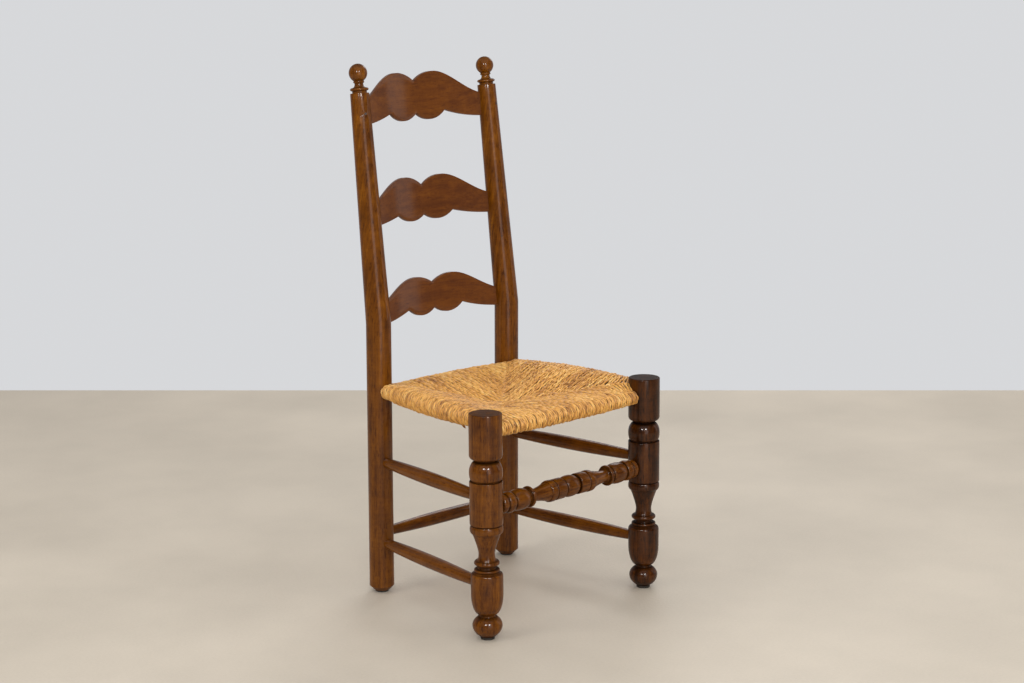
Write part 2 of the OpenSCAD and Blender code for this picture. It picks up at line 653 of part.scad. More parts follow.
// The packing: a triangle along each rail, kept off the rails and off the weave's four seams
module stuffing(grow) intersection() {
  dished_slab(rush_t - grow);
  union() {
    near_y = front_rail_y + cross_wrap;
    far_y = leg_depth - cross_wrap;
    near_x = corner_front - leg_r - seam_margin;
    far_x = corner_back - post_r - seam_margin;
    translate([0, 0, corner_low - leg_d]) linear_extrude(height = 2 * leg_d) {
      polygon(grown([[-near_x, near_y], [near_x, near_y], [0, centre_y - seam_margin]], grow));
      polygon(grown([[far_x, far_y], [-far_x, far_y], [0, centre_y + seam_margin]], grow));
      for (side = [LEFT, RIGHT]) polygon(grown([
        [side * (corner_front - side_wrap - seam_margin / 2), near_y + 1.5 * seam_margin],
        [side * (corner_back - side_wrap + 2), far_y - 1.5 * seam_margin],
        [side * seam_margin, centre_y]], grow));
    }
  }
}

module seat_stuffing() in_frame() color(pale_straw) stuffing(0);

// ---- Foot glides ----

module glide(at) translate([at[0], at[1], 0]) {
  rotate_extrude() polygon(concat(
    [[0, 0]], out_curve([glide_d / 2 - 1.2, 0], [glide_d / 2, 1.2], 4), [[glide_d / 2, glide_t], [0, glide_t]]));
  cylinder(d = nail_d, h = nail_len);
}

module foot_glides() in_frame() color(glide_brown) for (side = [LEFT, RIGHT]) {
  glide(leg_at(side, 0));
  glide(post_at(side, 0));
}

front_leg(LEFT);  // front_leg_left
front_leg(RIGHT);  // front_leg_right
back_post(LEFT);  // back_post_left
back_post(RIGHT);  // back_post_right
finial(LEFT);  // finial_left
finial(RIGHT);  // finial_right
back_slat(TOP);  // back_slat_top
back_slat(MIDDLE);  // back_slat_middle
back_slat(LOWER);  // back_slat_lower
slat_pegs();
front_stretcher();
color(walnut) side_stretcher(LEFT, side_upper_h);  // side_stretcher_left_upper
color(walnut) side_stretcher(LEFT, side_lower_h);  // side_stretcher_left_lower
color(walnut) side_stretcher(RIGHT, side_upper_h);  // side_stretcher_right_upper
color(walnut) side_stretcher(RIGHT, side_lower_h);  // side_stretcher_right_lower
back_stretcher();
seat_rail_front();
seat_rail_back();
seat_rail_side(LEFT);  // seat_rail_left
seat_rail_side(RIGHT);  // seat_rail_right
rush_seat();
seat_stuffing();
foot_glides();
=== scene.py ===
import math

import bpy
import numpy as np
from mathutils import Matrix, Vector


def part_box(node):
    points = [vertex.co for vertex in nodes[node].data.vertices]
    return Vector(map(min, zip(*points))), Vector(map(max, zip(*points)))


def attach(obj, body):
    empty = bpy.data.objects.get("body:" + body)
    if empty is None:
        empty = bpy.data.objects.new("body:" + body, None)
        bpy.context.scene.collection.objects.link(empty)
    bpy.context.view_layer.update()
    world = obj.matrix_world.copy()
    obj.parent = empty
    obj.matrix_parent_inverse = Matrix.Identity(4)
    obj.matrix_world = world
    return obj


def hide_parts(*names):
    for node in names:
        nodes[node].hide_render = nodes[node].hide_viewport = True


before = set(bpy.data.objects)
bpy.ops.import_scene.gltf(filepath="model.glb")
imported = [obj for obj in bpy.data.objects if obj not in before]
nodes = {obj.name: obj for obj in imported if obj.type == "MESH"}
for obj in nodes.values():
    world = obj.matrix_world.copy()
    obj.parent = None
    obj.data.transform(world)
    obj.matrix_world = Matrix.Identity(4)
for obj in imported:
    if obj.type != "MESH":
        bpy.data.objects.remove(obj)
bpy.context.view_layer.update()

rng = np.random.default_rng(7)

# ---------------------------------------------------------------- node trees


class Wire:
    """A socket of a node tree; Python's operators on it add Math nodes."""

    def __init__(self, tree, socket):
        self.tree, self.socket = tree, socket

    def math(self, operation, *values):
        """This socket and other values through one Math node."""
        inputs = dict(enumerate((self, *values)))
        return self.tree.add("ShaderNodeMath", {"operation": operation}, inputs)

    def swapped(self, operation, value):
        """The same with the other value first."""
        return self.tree.add("ShaderNodeMath", {"operation": operation}, {0: value, 1: self})

    def __add__(self, other):
        return self.math("ADD", other)

    __radd__ = __add__

    def __mul__(self, other):
        return self.math("MULTIPLY", other)

    __rmul__ = __mul__

    def __sub__(self, other):
        return self.math("SUBTRACT", other)

    def __rsub__(self, other):
        return self.swapped("SUBTRACT", other)

    def __pow__(self, other):
        return self.math("POWER", other)

    def step(self, low, high):
        """0 below low, 1 above high and a smooth rise between; low may be the larger."""
        return self.tree.add(
            "ShaderNodeMapRange",
            {"interpolation_type": "SMOOTHSTEP"},
            {"Value": self, "From Min": low, "From Max": high},
        )


class NodeTree:
    """A node tree under construction."""

    def __init__(self, tree):
        self.tree = tree
        self.tree.nodes.clear()

    def add(self, kind, settings=None, inputs=None, out=0):
        """One node: its settings, then the values or links of its sockets; gives the output named.

        With out=None it gives all the outputs."""
        node = self.tree.nodes.new(kind)
        for key, value in (settings or {}).items():
            if key == "stops":
                ramp = node.color_ramp
                while len(ramp.elements) < len(value):
                    ramp.elements.new(0.5)
                for element, (place, colour) in zip(ramp.elements, value):
                    element.position, element.color = place, (*colour, 1)
            else:
                setattr(node, key, value)
        for key, value in (inputs or {}).items():
            if isinstance(value, Wire):
                self.tree.links.new(value.socket, node.inputs[key])
            else:
                node.inputs[key].default_value = value
        if out is None:
            return [Wire(self, socket) for socket in node.outputs]
        return Wire(self, node.outputs[out]) if node.outputs else None

    def mix(self, amount, first, second):
        """Two colours through a Mix node."""
        first, second = (c if isinstance(c, Wire) else (*c, 1) for c in (first, second))
        return self.add("ShaderNodeMix", {"data_type": "RGBA"}, {0: amount, 6: first, 7: second}, out=2)


class Surface(NodeTree):
    """A material under construction."""

    def __init__(self, name):
        self.material = bpy.data.materials.new(name)
        self.material.use_nodes = True
        super().__init__(self.material.node_tree)

    def place(self):
        """Where a point is, in metres in the chair's frame."""
        return self.add("ShaderNodeTexCoord", out="Object")

    def from_piece(self, origin, turn):
        """Where a point is, from a piece's own origin and turned so that Z runs along its grain."""
        return self.add(
            "ShaderNodeMapping",
            {"vector_type": "TEXTURE"},
            {"Vector": self.place(), "Location": origin, "Rotation": turn},
        )

    def closeness(self, distance, **settings):
        """Ambient occlusion: 1 on an open face, less where faces of the piece lie within a distance."""
        return self.add(
            "ShaderNodeAmbientOcclusion", {"samples": 4, **settings}, {"Distance": distance}, out="AO")

    def stretched(self, vector, scale):
        """The vector times a factor for each axis."""
        return self.add("ShaderNodeVectorMath", {"operation": "MULTIPLY"}, {0: vector, 1: scale})

    def noise(self, vector, scale, detail, rough, offset):
        """Noise about 0.5, at one scale or one for each axis; offset picks another part of it."""
        if isinstance(scale, tuple):
            vector, scale = self.stretched(vector, scale), 1.0
        return self.add(
            "ShaderNodeTexNoise",
            {"noise_dimensions": "4D"},
            {"Vector": vector, "W": offset, "Scale": scale, "Detail": detail, "Roughness": rough},
        )

    def split(self, vector):
        """The three parts of a vector."""
        return self.add("ShaderNodeSeparateXYZ", None, {0: vector}, out=None)

    def ramp(self, value, stops):
        """A colour for each value, through the stops."""
        return self.add("ShaderNodeValToRGB", {"stops": stops}, {"Fac": value})

    def shade(self, colour, by):
        """The colour multiplied by a grey value."""
        return self.add("ShaderNodeVectorMath", {"operation": "SCALE"}, {0: colour, "Scale": by})

    def bump(self, height, depth):
        """A normal that follows a height, of so many metres for 1."""
        return self.add("ShaderNodeBump", None, {"Height": height, "Distance": depth})

    def finish(self, **sockets):
        """The Principled shader with the sockets named; spaces in names are written as _."""
        inputs = {key.replace("_", " "): value for key, value in sockets.items()}
        shader = self.add("ShaderNodeBsdfPrincipled", None, inputs)
        self.add("ShaderNodeOutputMaterial", None, {"Surface": shader})
        return self.material


# ---------------------------------------------------------------- wood

# Metres from a piece's middle to the tree's, and between growth rings on its sides and its ends
PITH_OFFSET = 0.045
RING_PITCH = 0.0052
END_RING_PITCH = 0.0042

STAIN = [
    (0.0, (0.018, 0.0048, 0.0008)),
    (0.30, (0.070, 0.0185, 0.0012)),
    (0.60, (0.160, 0.0490, 0.0020)),
    (1.0, (0.330, 0.1200, 0.0070)),
]


def stained_wood(name, origin, along, seed, tone=0.0, red=0.0, kink=None):
    """Brown-stained wood under a satin varnish, with its grain running along a direction and painted shade
    in its grooves.

    A positive tone is paler; kink is the height where the grain starts to lean and its slope."""
    s = Surface(name)
    turn = Vector(along).to_track_quat("Z", "Y").to_euler()
    local = s.from_piece(origin, turn)
    x, y, z = s.split(local)
    if kink:
        y = y - (z - kink[0]).math("MAXIMUM", 0.0) * kink[1]
        local = s.add("ShaderNodeCombineXYZ", None, {0: x, 1: y, 2: z})
    sway = s.noise(local, (14, 14, 2.2), 2.0, 0.5, seed) - 0.5
    streak = s.noise(local, (105, 105, 3.2), 4.0, 0.60, seed + 3.1)
    cloud = s.noise(local, (34, 34, 20), 6.0, 0.72, seed + 5.7)
    curl = s.noise(local, (26, 26, 210), 3.0, 0.6, seed + 7.1)
    fleck = s.noise(local, (420, 420, 55), 2.0, 0.5, seed + 8.3)
    pore = s.noise(local, (1500, 1500, 110), 1.0, 0.5, seed + 9.9)

    pith_x = PITH_OFFSET * math.cos(seed * 2.4)
    pith_y = PITH_OFFSET * math.sin(seed * 2.4)
    from_pith = ((x - pith_x + sway * 0.022) ** 2 + (y - pith_y + sway * 0.018) ** 2) ** 0.5
    ring = (from_pith * (2 * math.pi / RING_PITCH) + sway * 5.0).math("SINE")

    figure = (
        0.50 + tone + (streak - 0.5) * 0.80 + (cloud - 0.5) * 0.80 + (curl - 0.5) * 0.20 + ring * 0.025
        - fleck.step(0.54, 0.70) * 0.20
    )
    colour = s.ramp(figure, STAIN)
    if red:
        colour = s.mix(red, colour, (0.135, 0.042, 0.014))

    facing = s.split(s.add(
        "ShaderNodeVectorRotate",
        {"rotation_type": "EULER_XYZ", "invert": True},
        {"Vector": s.add("ShaderNodeNewGeometry", out="Normal"), "Rotation": turn},
    ))[2].math("ABSOLUTE")
    end_grain = facing.step(0.55, 0.98)
    growth = ((x ** 2 + y ** 2) ** 0.5 * (2 * math.pi / END_RING_PITCH) + sway * 3.0).math("SINE")
    # Painted shade: where other faces of the piece lie within 9 mm, in grooves and recesses, the colour is
    # darkened by up to 60%; the same mask also dulls the coat there.
    shaded_recess = s.closeness(0.009, only_local=True).step(0.92, 0.45)
    rim = s.closeness(0.0035, only_local=True, inside=True)
    worn = rim.step(0.62, 0.30) * cloud.step(0.35, 0.75)
    # light is the grey that the colour is multiplied by: the darker end grain and pores are the wood's own,
    # and the recess term is painted shade.
    light = (1.0 - end_grain * (0.44 + growth * 0.06)) * (1.0 - shaded_recess * 0.60)
    light = light * (1.0 - pore.step(0.60, 0.74) * 0.22)
    colour = s.shade(colour, light)
    colour = s.mix(worn * 0.30, colour, (0.34, 0.155, 0.050))

    height = streak * 0.35 - pore.step(0.58, 0.72) * 0.55 + cloud * 0.4
    rough = 0.40 + (cloud - 0.5) * 0.20 + end_grain * 0.10 + shaded_recess * 0.10 - worn * 0.04
    return s.finish(
        Base_Color=colour,
        Roughness=rough,
        Normal=s.bump(height, 0.00010),
        Specular_IOR_Level=0.04,
        Coat_Weight=0.46 - shaded_recess * 0.40 - end_grain * 0.46,
        Coat_Roughness=0.14,
        Coat_IOR=1.48,
        IOR=1.48,
    )


def peg_wood():
    """Dark end grain of small pegs."""
    s = Surface("peg_end_grain")
    speck = s.noise(s.place(), 1400.0, 2.0, 0.6, 2.0)
    colour = s.ramp(speck, [(0.3, (0.012, 0.005, 0.002)), (0.7, (0.06, 0.022, 0.008))])
    return s.finish(Base_Color=colour, Roughness=0.45 + (speck - 0.5) * 0.2, Normal=s.bump(speck, 0.0002))


def bare_wood(name, origin, along, seed):
    """Unstained turned wood, dusty and dull."""
    s = Surface(name)
    local = s.from_piece(origin, Vector(along).to_track_quat("Z", "Y").to_euler())
    streak = s.noise(local, (160, 160, 7), 3.0, 0.6, seed)
    lathe = s.noise(local, (3, 3, 500), 1.0, 0.5, seed + 4)
    colour = s.ramp(streak + (lathe - 0.5) * 0.2, [
        (0.25, (0.26, 0.155, 0.075)), (0.5, (0.42, 0.27, 0.14)), (0.8, (0.56, 0.39, 0.22)),
    ])
    return s.finish(
        Base_Color=colour, Roughness=0.62 + (streak - 0.5) * 0.2, Normal=s.bump(lathe + streak, 0.0003))


def glide_plastic():
    """Dark nylon, scuffed and a little dusty."""
    s = Surface("glide_nylon")
    where = s.place()
    scuff = s.noise(where, (300, 120, 300), 3.0, 0.6, 1.0)
    dust = s.noise(where, 90.0, 3.0, 0.6, 5.0).step(0.45, 0.75)
    colour = s.ramp(scuff * 0.7 + dust * 0.3, [(0.2, (0.010, 0.007, 0.005)), (0.9, (0.060, 0.045, 0.034))])
    return s.finish(Base_Color=colour, Roughness=0.42 + scuff * 0.25, Normal=s.bump(scuff, 0.00015))


# ---------------------------------------------------------------- rush


def rush():
    """Twisted rush: each strand has its own tone, with fibres that follow its twist, and painted shade
    between the strands.
    """
    s = Surface("twisted_rush")
    lay = s.add("ShaderNodeAttribute", {"attribute_name": "lay"}, out="Vector")
    along, around, tone = s.split(lay)
    fibre_at = s.add("ShaderNodeCombineXYZ", None, {0: along * 30.0, 1: around * 7.0, 2: tone * 31.0})
    fibre = s.noise(fibre_at, 1.0, 3.0, 0.6, 0.0)
    patch_at = s.add("ShaderNodeCombineXYZ", None, {0: along * 34.0, 1: around * 0.8, 2: tone * 53.0})
    patch = s.noise(patch_at, 1.0, 2.0, 0.5, 4.0)
    spread = s.noise(s.place(), 17.0, 2.0, 0.5, 9.0)
    value = 0.55 + (tone - 0.5) * 0.26 + (fibre - 0.5) * 1.5 + (patch - 0.5) * 0.95 + (spread - 0.5) * 0.5
    colour = s.ramp(value, [
        (0.05, (0.150, 0.050, 0.008)),
        (0.32, (0.430, 0.170, 0.023)),
        (0.55, (0.720, 0.335, 0.058)),
        (0.78, (0.860, 0.470, 0.107)),
        (1.0, (0.930, 0.650, 0.240)),
    ])
    # Painted shade: the colour goes towards a deep brown, by up to 75%, where other strands or parts lie
    # within 6 mm, in the gaps between strands.
    colour = s.mix(s.closeness(0.006).step(0.75, 0.15) * 0.75, colour, (0.115, 0.050, 0.014))
    return s.finish(
        Base_Color=colour,
        Roughness=0.50 + (fibre - 0.5) * 0.3,
        Normal=s.bump(fibre, 0.0007),
        Sheen_Weight=0.12,
        Sheen_Roughness=0.4,
    )


def chopped_rush():
    """Short pieces of dry rush, pressed together."""
    s = Surface("chopped_rush")
    chips = s.noise(s.place(), (240, 60, 240), 3.0, 0.6, 2.0)
    colour = s.ramp(chips, [(0.3, (0.10, 0.050, 0.018)), (0.7, (0.34, 0.20, 0.075))])
    return s.finish(Base_Color=colour, Roughness=0.75 + (chips - 0.5) * 0.2, Normal=s.bump(chips, 0.001))


# ---------------------------------------------------------------- the wooden pieces

SHARP_EDGE = math.radians(31)
BEVELLED_EDGE = math.radians(38)
# Corners closer than this are one corner
JOINED = 0.00005


def smoother():
    """A node group that shades a welded mesh smooth, except at sharp edges."""
    group = bpy.data.node_groups.new("smooth_curves", "GeometryNodeTree")
    group.interface.new_socket("Geometry", in_out="INPUT", socket_type="NodeSocketGeometry")
    group.interface.new_socket("Geometry", in_out="OUTPUT", socket_type="NodeSocketGeometry")
    tree = NodeTree(group)
    source = tree.add("NodeGroupInput")
    plain = tree.add("GeometryNodeRemoveAttribute", None, {"Geometry": source, "Name": "custom_normal"})
    round_faces = tree.add(
        "GeometryNodeSetShadeSmooth", {"domain": "FACE"}, {"Geometry": plain, "Shade Smooth": True})
    angle = tree.add("GeometryNodeInputMeshEdgeAngle")
    sharp = tree.add("FunctionNodeCompare", {"operation": "GREATER_THAN"}, {0: angle, 1: SHARP_EDGE})
    done = tree.add(
        "GeometryNodeSetShadeSmooth",
        {"domain": "EDGE"},
        {"Geometry": round_faces, "Selection": sharp, "Shade Smooth": False},
    )
    tree.add("NodeGroupOutput", None, {0: done})
    return group


smooth_curves = smoother()


def new_object(name, data):
    """An object in the scene that holds a mesh, a lamp or a camera."""
    thing = bpy.data.objects.new(name, data)
    bpy.context.scene.collection.objects.link(thing)
    return thing


def dress(name, material):
    """Gives a node of the frame its material and smooth curves."""
    finish_piece(nodes[name], material)


def finish_piece(piece, material, bevel=0.0):
    """Gives a piece its material, joined facets, eased edges and smooth curves."""
    piece.data.materials.clear()
    piece.data.materials.append(material)
    piece.modifiers.new("weld", "WELD").merge_threshold = JOINED
    if bevel:
        rounding = piece.modifiers.new("eased_edges", "BEVEL")
        rounding.width, rounding.segments = bevel, 2
        rounding.limit_method, rounding.angle_limit = "ANGLE", BEVELLED_EDGE
    piece.modifiers.new("smooth_curves", "NODES").node_group = smooth_curves


def band(name, low, high):
    """The box of a piece's corners between two heights."""
    corners = np.array([v.co for v in nodes[name].data.vertices])
    corners = corners[(corners[:, 2] >= low) & (corners[:, 2] <= high)]
    return corners.min(0), corners.max(0)


def middle(name, low=-1.0, high=9.0):
    """The middle of that box; without heights, of the whole piece."""
    first, last = band(name, low, high)
    return Vector((first + last) / 2)


LEFT, RIGHT = -1, 1
SIDES = ((LEFT, "left"), (RIGHT, "right"))
KINK_HEIGHT = 0.568
# What a side stick's thickness adds to the width of its box
STICK_WIDTH = 0.028

leg_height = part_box("front_leg_left")[1].z
post_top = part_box("back_post_left")[1].z
post_foot = {side: middle(f"back_post_{word}", 0.0, 0.1) for side, word in SIDES}
post_head = {side: middle(f"back_post_{word}", post_top - 0.03, post_top) for side, word in SIDES}


def stick_run(side, low, high):
    """The direction in plan of a side stick, from the corners of its box."""
    return Vector((-side * (high.x - low.x - STICK_WIDTH), high.y - low.y, 0)).normalized()


for side, word in SIDES:
    leg = f"front_leg_{word}"
    top = middle(leg, leg_height - 0.05, leg_height)
    # Painted shade: the right leg's tone of -0.33, far below the left leg's -0.05, darkens it as if it stood
    # in shade; a small part of the difference is the wood's own tone.
    dress(leg, stained_wood(
        f"{leg}_stain", (top.x, top.y, 0), (0, 0, 1), 1.3 + side, tone=-0.05 if side == LEFT else -0.33))
    foot, head = post_foot[side], post_head[side]
    lean = (head.y - foot.y) / (head.z - KINK_HEIGHT)
    post = f"back_post_{word}"
    dress(post, stained_wood(
        f"{post}_stain", (foot.x, foot.y, 0), (0, 0, 1), 4.1 + side, tone=0.01, kink=(KINK_HEIGHT, lean)))
    finial = f"finial_{word}"
    dress(finial, stained_wood(f"{finial}_stain", middle(finial), (0, 0, 1), 7.7 + side, tone=0.02))
    for level in ("upper", "lower"):
        stick = f"side_stretcher_{word}_{level}"
        low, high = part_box(stick)
        dress(stick, stained_wood(
            f"{stick}_stain", (low + high) / 2, stick_run(side, low, high), 11.0 + side * 2 + len(level),
            tone=-0.03))
    rail = f"seat_rail_{word}"
    low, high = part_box(rail)
    dress(rail, bare_wood(f"{rail}_bare", (low + high) / 2, stick_run(side, low, high), 3.0 + side))

# ---------------------------------------------------------------- the slats

BACK_LEAN = math.radians(6.8)
IN_LEAN = math.radians(0.68)
SLAT_THICK = 0.010
SLAT_TENON = 0.003
SLAT_EDGE = 0.0012
HUMP_AT, LOBE_AT, CUSP_AT = 0.0505, 0.036, 0.0745
SLATS = {
    # Notch's place up the slope, depth, hump, top edge's drop, lobe, lower edge's drop, bow
    "top": (0.4837, 0.0658, 0.0194, 0.0364, 0.0150, 0.0165, 0.0364),
    "middle": (0.2665, 0.0586, 0.0208, 0.0311, 0.0132, 0.0129, 0.0379),
    "lower": (0.0628, 0.0512, 0.0162, 0.0323, 0.0140, 0.0176, 0.0309),
}


def arc(x, half, height):
    """How far an arc that falls by height over half its chord has fallen at x."""
    r = (half * half + height * height) / (2 * height)
    return r - math.sqrt(max(0.0, r * r - x * x))


def slat_mesh(name, notch, depth, hump, drop, lobe, low_drop, bow):
    """A bowed sheet with a scrolled top edge and a lobed lower edge, in fine even columns."""
    low = notch - depth
    half = abs(post_foot[LEFT].x) - low * math.sin(IN_LEAN)
    reach = half + SLAT_TENON
    bow_radius = (half * half + bow * bow) / (2 * bow)
    cusp = low - lobe + arc(CUSP_AT - LOBE_AT, LOBE_AT, lobe)

    def top_edge(x):
        """A hump beside the notch, then a soft slope down to the end."""
        if x <= HUMP_AT:
            return notch + hump - arc(HUMP_AT - x, HUMP_AT, hump)
        s = (x - HUMP_AT) / (reach - HUMP_AT)
        return notch - drop + (hump + drop) * (1 + math.cos(math.pi * s)) / 2

    def low_edge(x):
        """A lobe, then from the cusp an arc out to the end."""
        if x <= CUSP_AT:
            return low - lobe + arc(abs(x - LOBE_AT), LOBE_AT, lobe)
        s = (x - CUSP_AT) / (reach - CUSP_AT)
        return low - low_drop + arc((reach - CUSP_AT) * (1 - s), reach - CUSP_AT, cusp - low + low_drop)

    columns = [*np.linspace(0, CUSP_AT, 31), *np.linspace(CUSP_AT, reach, 42)[1:]]
    columns = [-x for x in columns[:0:-1]] + columns
    rows = 8
    points, faces = [], []
    for face in (-1, 1):
        r = bow_radius + face * SLAT_THICK / 2
        for x in columns:
            y = bow - bow_radius + math.sqrt(r * r - x * x)
            top, bottom = top_edge(abs(x)), low_edge(abs(x))
            for k in range(rows + 1):
                w = bottom + (top - bottom) * k / rows
                points.append((
                    x,
                    post_foot[LEFT].y + y * math.cos(BACK_LEAN) + w * math.sin(BACK_LEAN),
                    KINK_HEIGHT - y * math.sin(BACK_LEAN) + w * math.cos(BACK_LEAN),
                ))
    line = rows + 1
    back = len(columns) * line
    for i in range(len(columns) - 1):
        for k in range(rows):
            c = i * line + k
            faces.append((c, c + line, c + line + 1, c + 1))
            faces.append((back + c, back + c + 1, back + c + line + 1, back + c + line))
        c = i * line
        faces.append((c, back + c, back + c + line, c + line))
        faces.append((c + rows, c + line + rows, back + c + line + rows, back + c + rows))
    for i, turned in ((0, False), (len(columns) - 1, True)):
        for k in range(rows):
            c = i * line + k
            quad = (c, c + 1, back + c + 1, back + c)
            faces.append(quad[::-1] if turned else quad)
    mesh = bpy.data.meshes.new(name)
    mesh.from_pydata(points, [], faces)
    return mesh


for number, (level, sizes) in enumerate(SLATS.items()):
    slat = f"back_slat_{level}"
    piece = new_object(f"scrolled_slat_{level}", slat_mesh(f"scrolled_slat_{level}", *sizes))
    finish_piece(piece, stained_wood(
        f"{slat}_stain", middle(slat), (1, 0, 0), 21.0 + 3.7 * number,
        tone=-0.10 if level == "middle" else -0.02, red=0.45), bevel=SLAT_EDGE)
    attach(piece, "root")
    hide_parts(slat)

# ---------------------------------------------------------------- the other wooden pieces

for name, seed in (("front_stretcher", 33.0), ("back_stretcher", 37.0)):
    dress(name, stained_wood(f"{name}_stain", middle(name), (1, 0, 0), seed, tone=-0.06))
for name, seed in (("seat_rail_front", 6.0), ("seat_rail_back", 8.0)):
    dress(name, bare_wood(f"{name}_bare", middle(name), (1, 0, 0), seed))
dress("slat_pegs", peg_wood())
dress("foot_glides", glide_plastic())

# ---------------------------------------------------------------- the woven seat

# Thickness and spacing of the strands, and the rails' radius at their ends
STRAND = 0.0050
PITCH = 0.0054
RAIL_END = 0.009

front_axis = middle("seat_rail_front")
back_axis = middle("seat_rail_back")
side_height = middle("seat_rail_left").z


def thick(name):
    """Half the height of a stick."""
    low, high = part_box(name)
    return (high.z - low.z) / 2


# The legs' and posts' places and radii, the weave's middle, and the heights of its upper and lower seams
half_front = abs(middle("front_leg_left", 0.4, 0.5).x)
half_back = abs(post_foot[LEFT].x)
leg_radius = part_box("front_leg_left")[1].x + half_front
post_radius = -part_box("back_post_left")[0].x - half_back
hub = np.array([0.0, (front_axis.y + back_axis.y) / 2 + 0.006])
SEAM_CENTRE = front_axis.z - 0.007
SEAM_RISE = 0.035
UNDER_CENTRE = front_axis.z - 0.023
UNDER_RISE = 0.027


def ease(t):
    """0 to 1 with a soft start and end."""
    t = np.clip(t, 0, 1)
    return t * t * (3 - 2 * t)


def upper_seam(share):
    """The top surface's height on a seam, so much of the way from the middle to the corner."""
    return SEAM_CENTRE + SEAM_RISE * ease(share / 0.95)


def under_seam(share):
    """The same for the underside."""
    return UNDER_CENTRE + UNDER_RISE * ease(share)


class Panel:
    """One of the weave's four fields: its strands cross one rail and end on two seams."""

    def __init__(self, a, b, height, mid_radius, clear_a, clear_b):
        self.a, self.b = np.array(a, float), np.array(b, float)
        self.height, self.mid_radius = height, mid_radius
        self.length = np.linalg.norm(self.b - self.a)
        self.run = (self.b - self.a) / self.length
        inward = np.array([-self.run[1], self.run[0]])
        self.inward = inward if inward @ (hub - self.a) > 0 else -inward
        self.first, self.last = clear_a, self.length - clear_b

    def radius(self, t):
        """The rail's radius at t: swelled in the middle."""
        s = (2 * (t - self.first) / (self.last - self.first)) - 1
        return RAIL_END + (self.mid_radius - RAIL_END) * (1 - s * s)

    def reach(self, t):
        """Distance from the rail to the seam, and how far along the seam from the centre."""
        point = self.a + self.run * t
        best = None
        for corner in (self.a, self.b):
            m = np.array([self.inward, corner - hub]).T
            u, v = np.linalg.solve(m, corner - point)
            share = 1 - v
            if 0 <= share <= 1.0001 and (best is None or u < best[0]):
                best = (u, share)
        return best


panels = [
    Panel((-half_front, front_axis.y), (half_front, front_axis.y), front_axis.z, thick("seat_rail_front"),
          leg_radius, leg_radius),
    Panel((half_back, back_axis.y), (-half_back, back_axis.y), back_axis.z, thick("seat_rail_back"),
          post_radius, post_radius),
    Panel((-half_back, back_axis.y), (-half_front, front_axis.y), side_height, thick("seat_rail_left"),
          post_radius, leg_radius),
    Panel((half_front, front_axis.y), (half_back, back_axis.y), side_height, thick("seat_rail_right"),
          leg_radius, post_radius),
]


class Skeins:
    """Collects strands as tubes, each with a flat twisted section."""

    def __init__(self, sides=8):
        self.sides, self.points, self.faces, self.lay, self.count = sides, [], [], [], 0

    def strand(self, path, across, width, tone, twist, phase):
        """A tube along a path that stays about square to the direction across."""
        path = np.array(path)
        n = len(path)
        tangent = np.gradient(path, axis=0)
        tangent /= np.linalg.norm(tangent, axis=1)[:, None]
        flat = across - tangent * (tangent @ across)[:, None]
        flat /= np.linalg.norm(flat, axis=1)[:, None] + 1e-9
        lift = np.cross(flat, tangent)
        lift /= np.linalg.norm(lift, axis=1)[:, None] + 1e-9
        step = np.r_[0, np.cumsum(np.linalg.norm(np.diff(path, axis=0), axis=1))]
        turn = phase + twist * step * 2 * math.pi
        angle = np.arange(self.sides) * 2 * math.pi / self.sides
        taper = np.ones(n)
        taper[0] = taper[-1] = 0.55
        waist = 1 - 0.12 * np.sin(angle) ** 4
        long = (np.cos(angle) * waist)[None, :] * width * 0.56
        short = (np.sin(angle) * waist)[None, :] * width * 0.42
        u = (long * np.cos(turn)[:, None] - short * np.sin(turn)[:, None]) * taper[:, None]
        v = (long * np.sin(turn)[:, None] + short * np.cos(turn)[:, None]) * taper[:, None]
        ring = path[:, None, :] + flat[:, None, :] * u[..., None] + lift[:, None, :] * v[..., None]
        self.points.append(ring.reshape(-1, 3))
        around = np.abs((angle / math.pi) % 2 - 1)
        lay = np.stack([
            np.repeat(step, self.sides), np.tile(around, n), np.full(n * self.sides, tone)], 1)
        self.lay.append(lay)
        i = np.arange(n - 1)[:, None] * self.sides
        j = np.arange(self.sides)[None, :]
        k = (j + 1) % self.sides
        quads = np.stack([i + j, i + k, i + self.sides + k, i + self.sides + j], -1).reshape(-1, 4)
        self.faces.append(quads + self.count)
        for start, order in ((0, -1), (n - 1, 1)):
            cap = start * self.sides + np.arange(self.sides)[::order] + self.count
            self.faces.append([cap[:4], cap[[0, 3, 4, 7]], cap[4:]])
        self.count += n * self.sides

    def mesh(self, name):
        """One mesh of all the strands; lay holds length along, place around and tone."""
        mesh = bpy.data.meshes.new(name)
        faces = [tuple(int(c) for c in f) for block in self.faces for f in block]
        mesh.from_pydata(np.concatenate(self.points).tolist(), [], faces)
        mesh.attributes.new("lay", "FLOAT_VECTOR", "POINT").data.foreach_set(
            "vector", np.concatenate(self.lay).ravel())
        mesh.shade_smooth()
        return mesh


def wander(n, size, span):
    """A smooth random line of n values, about size high, that turns every span values."""
    knots = rng.normal(0, size, max(3, int(n / span) + 3))
    return np.interp(np.linspace(0, len(knots) - 1, n), np.arange(len(knots)), knots)


def smooth_line(values):
    """The values with their small steps evened out."""
    return np.convolve(np.pad(values, 2, mode="edge"), [0.1, 0.2, 0.4, 0.2, 0.1], mode="valid")


# Near a leg or post the strands fan out towards the corner, over this much of the rail
FAN_WIDTH = 0.045
POINT_SPACING = 0.0025


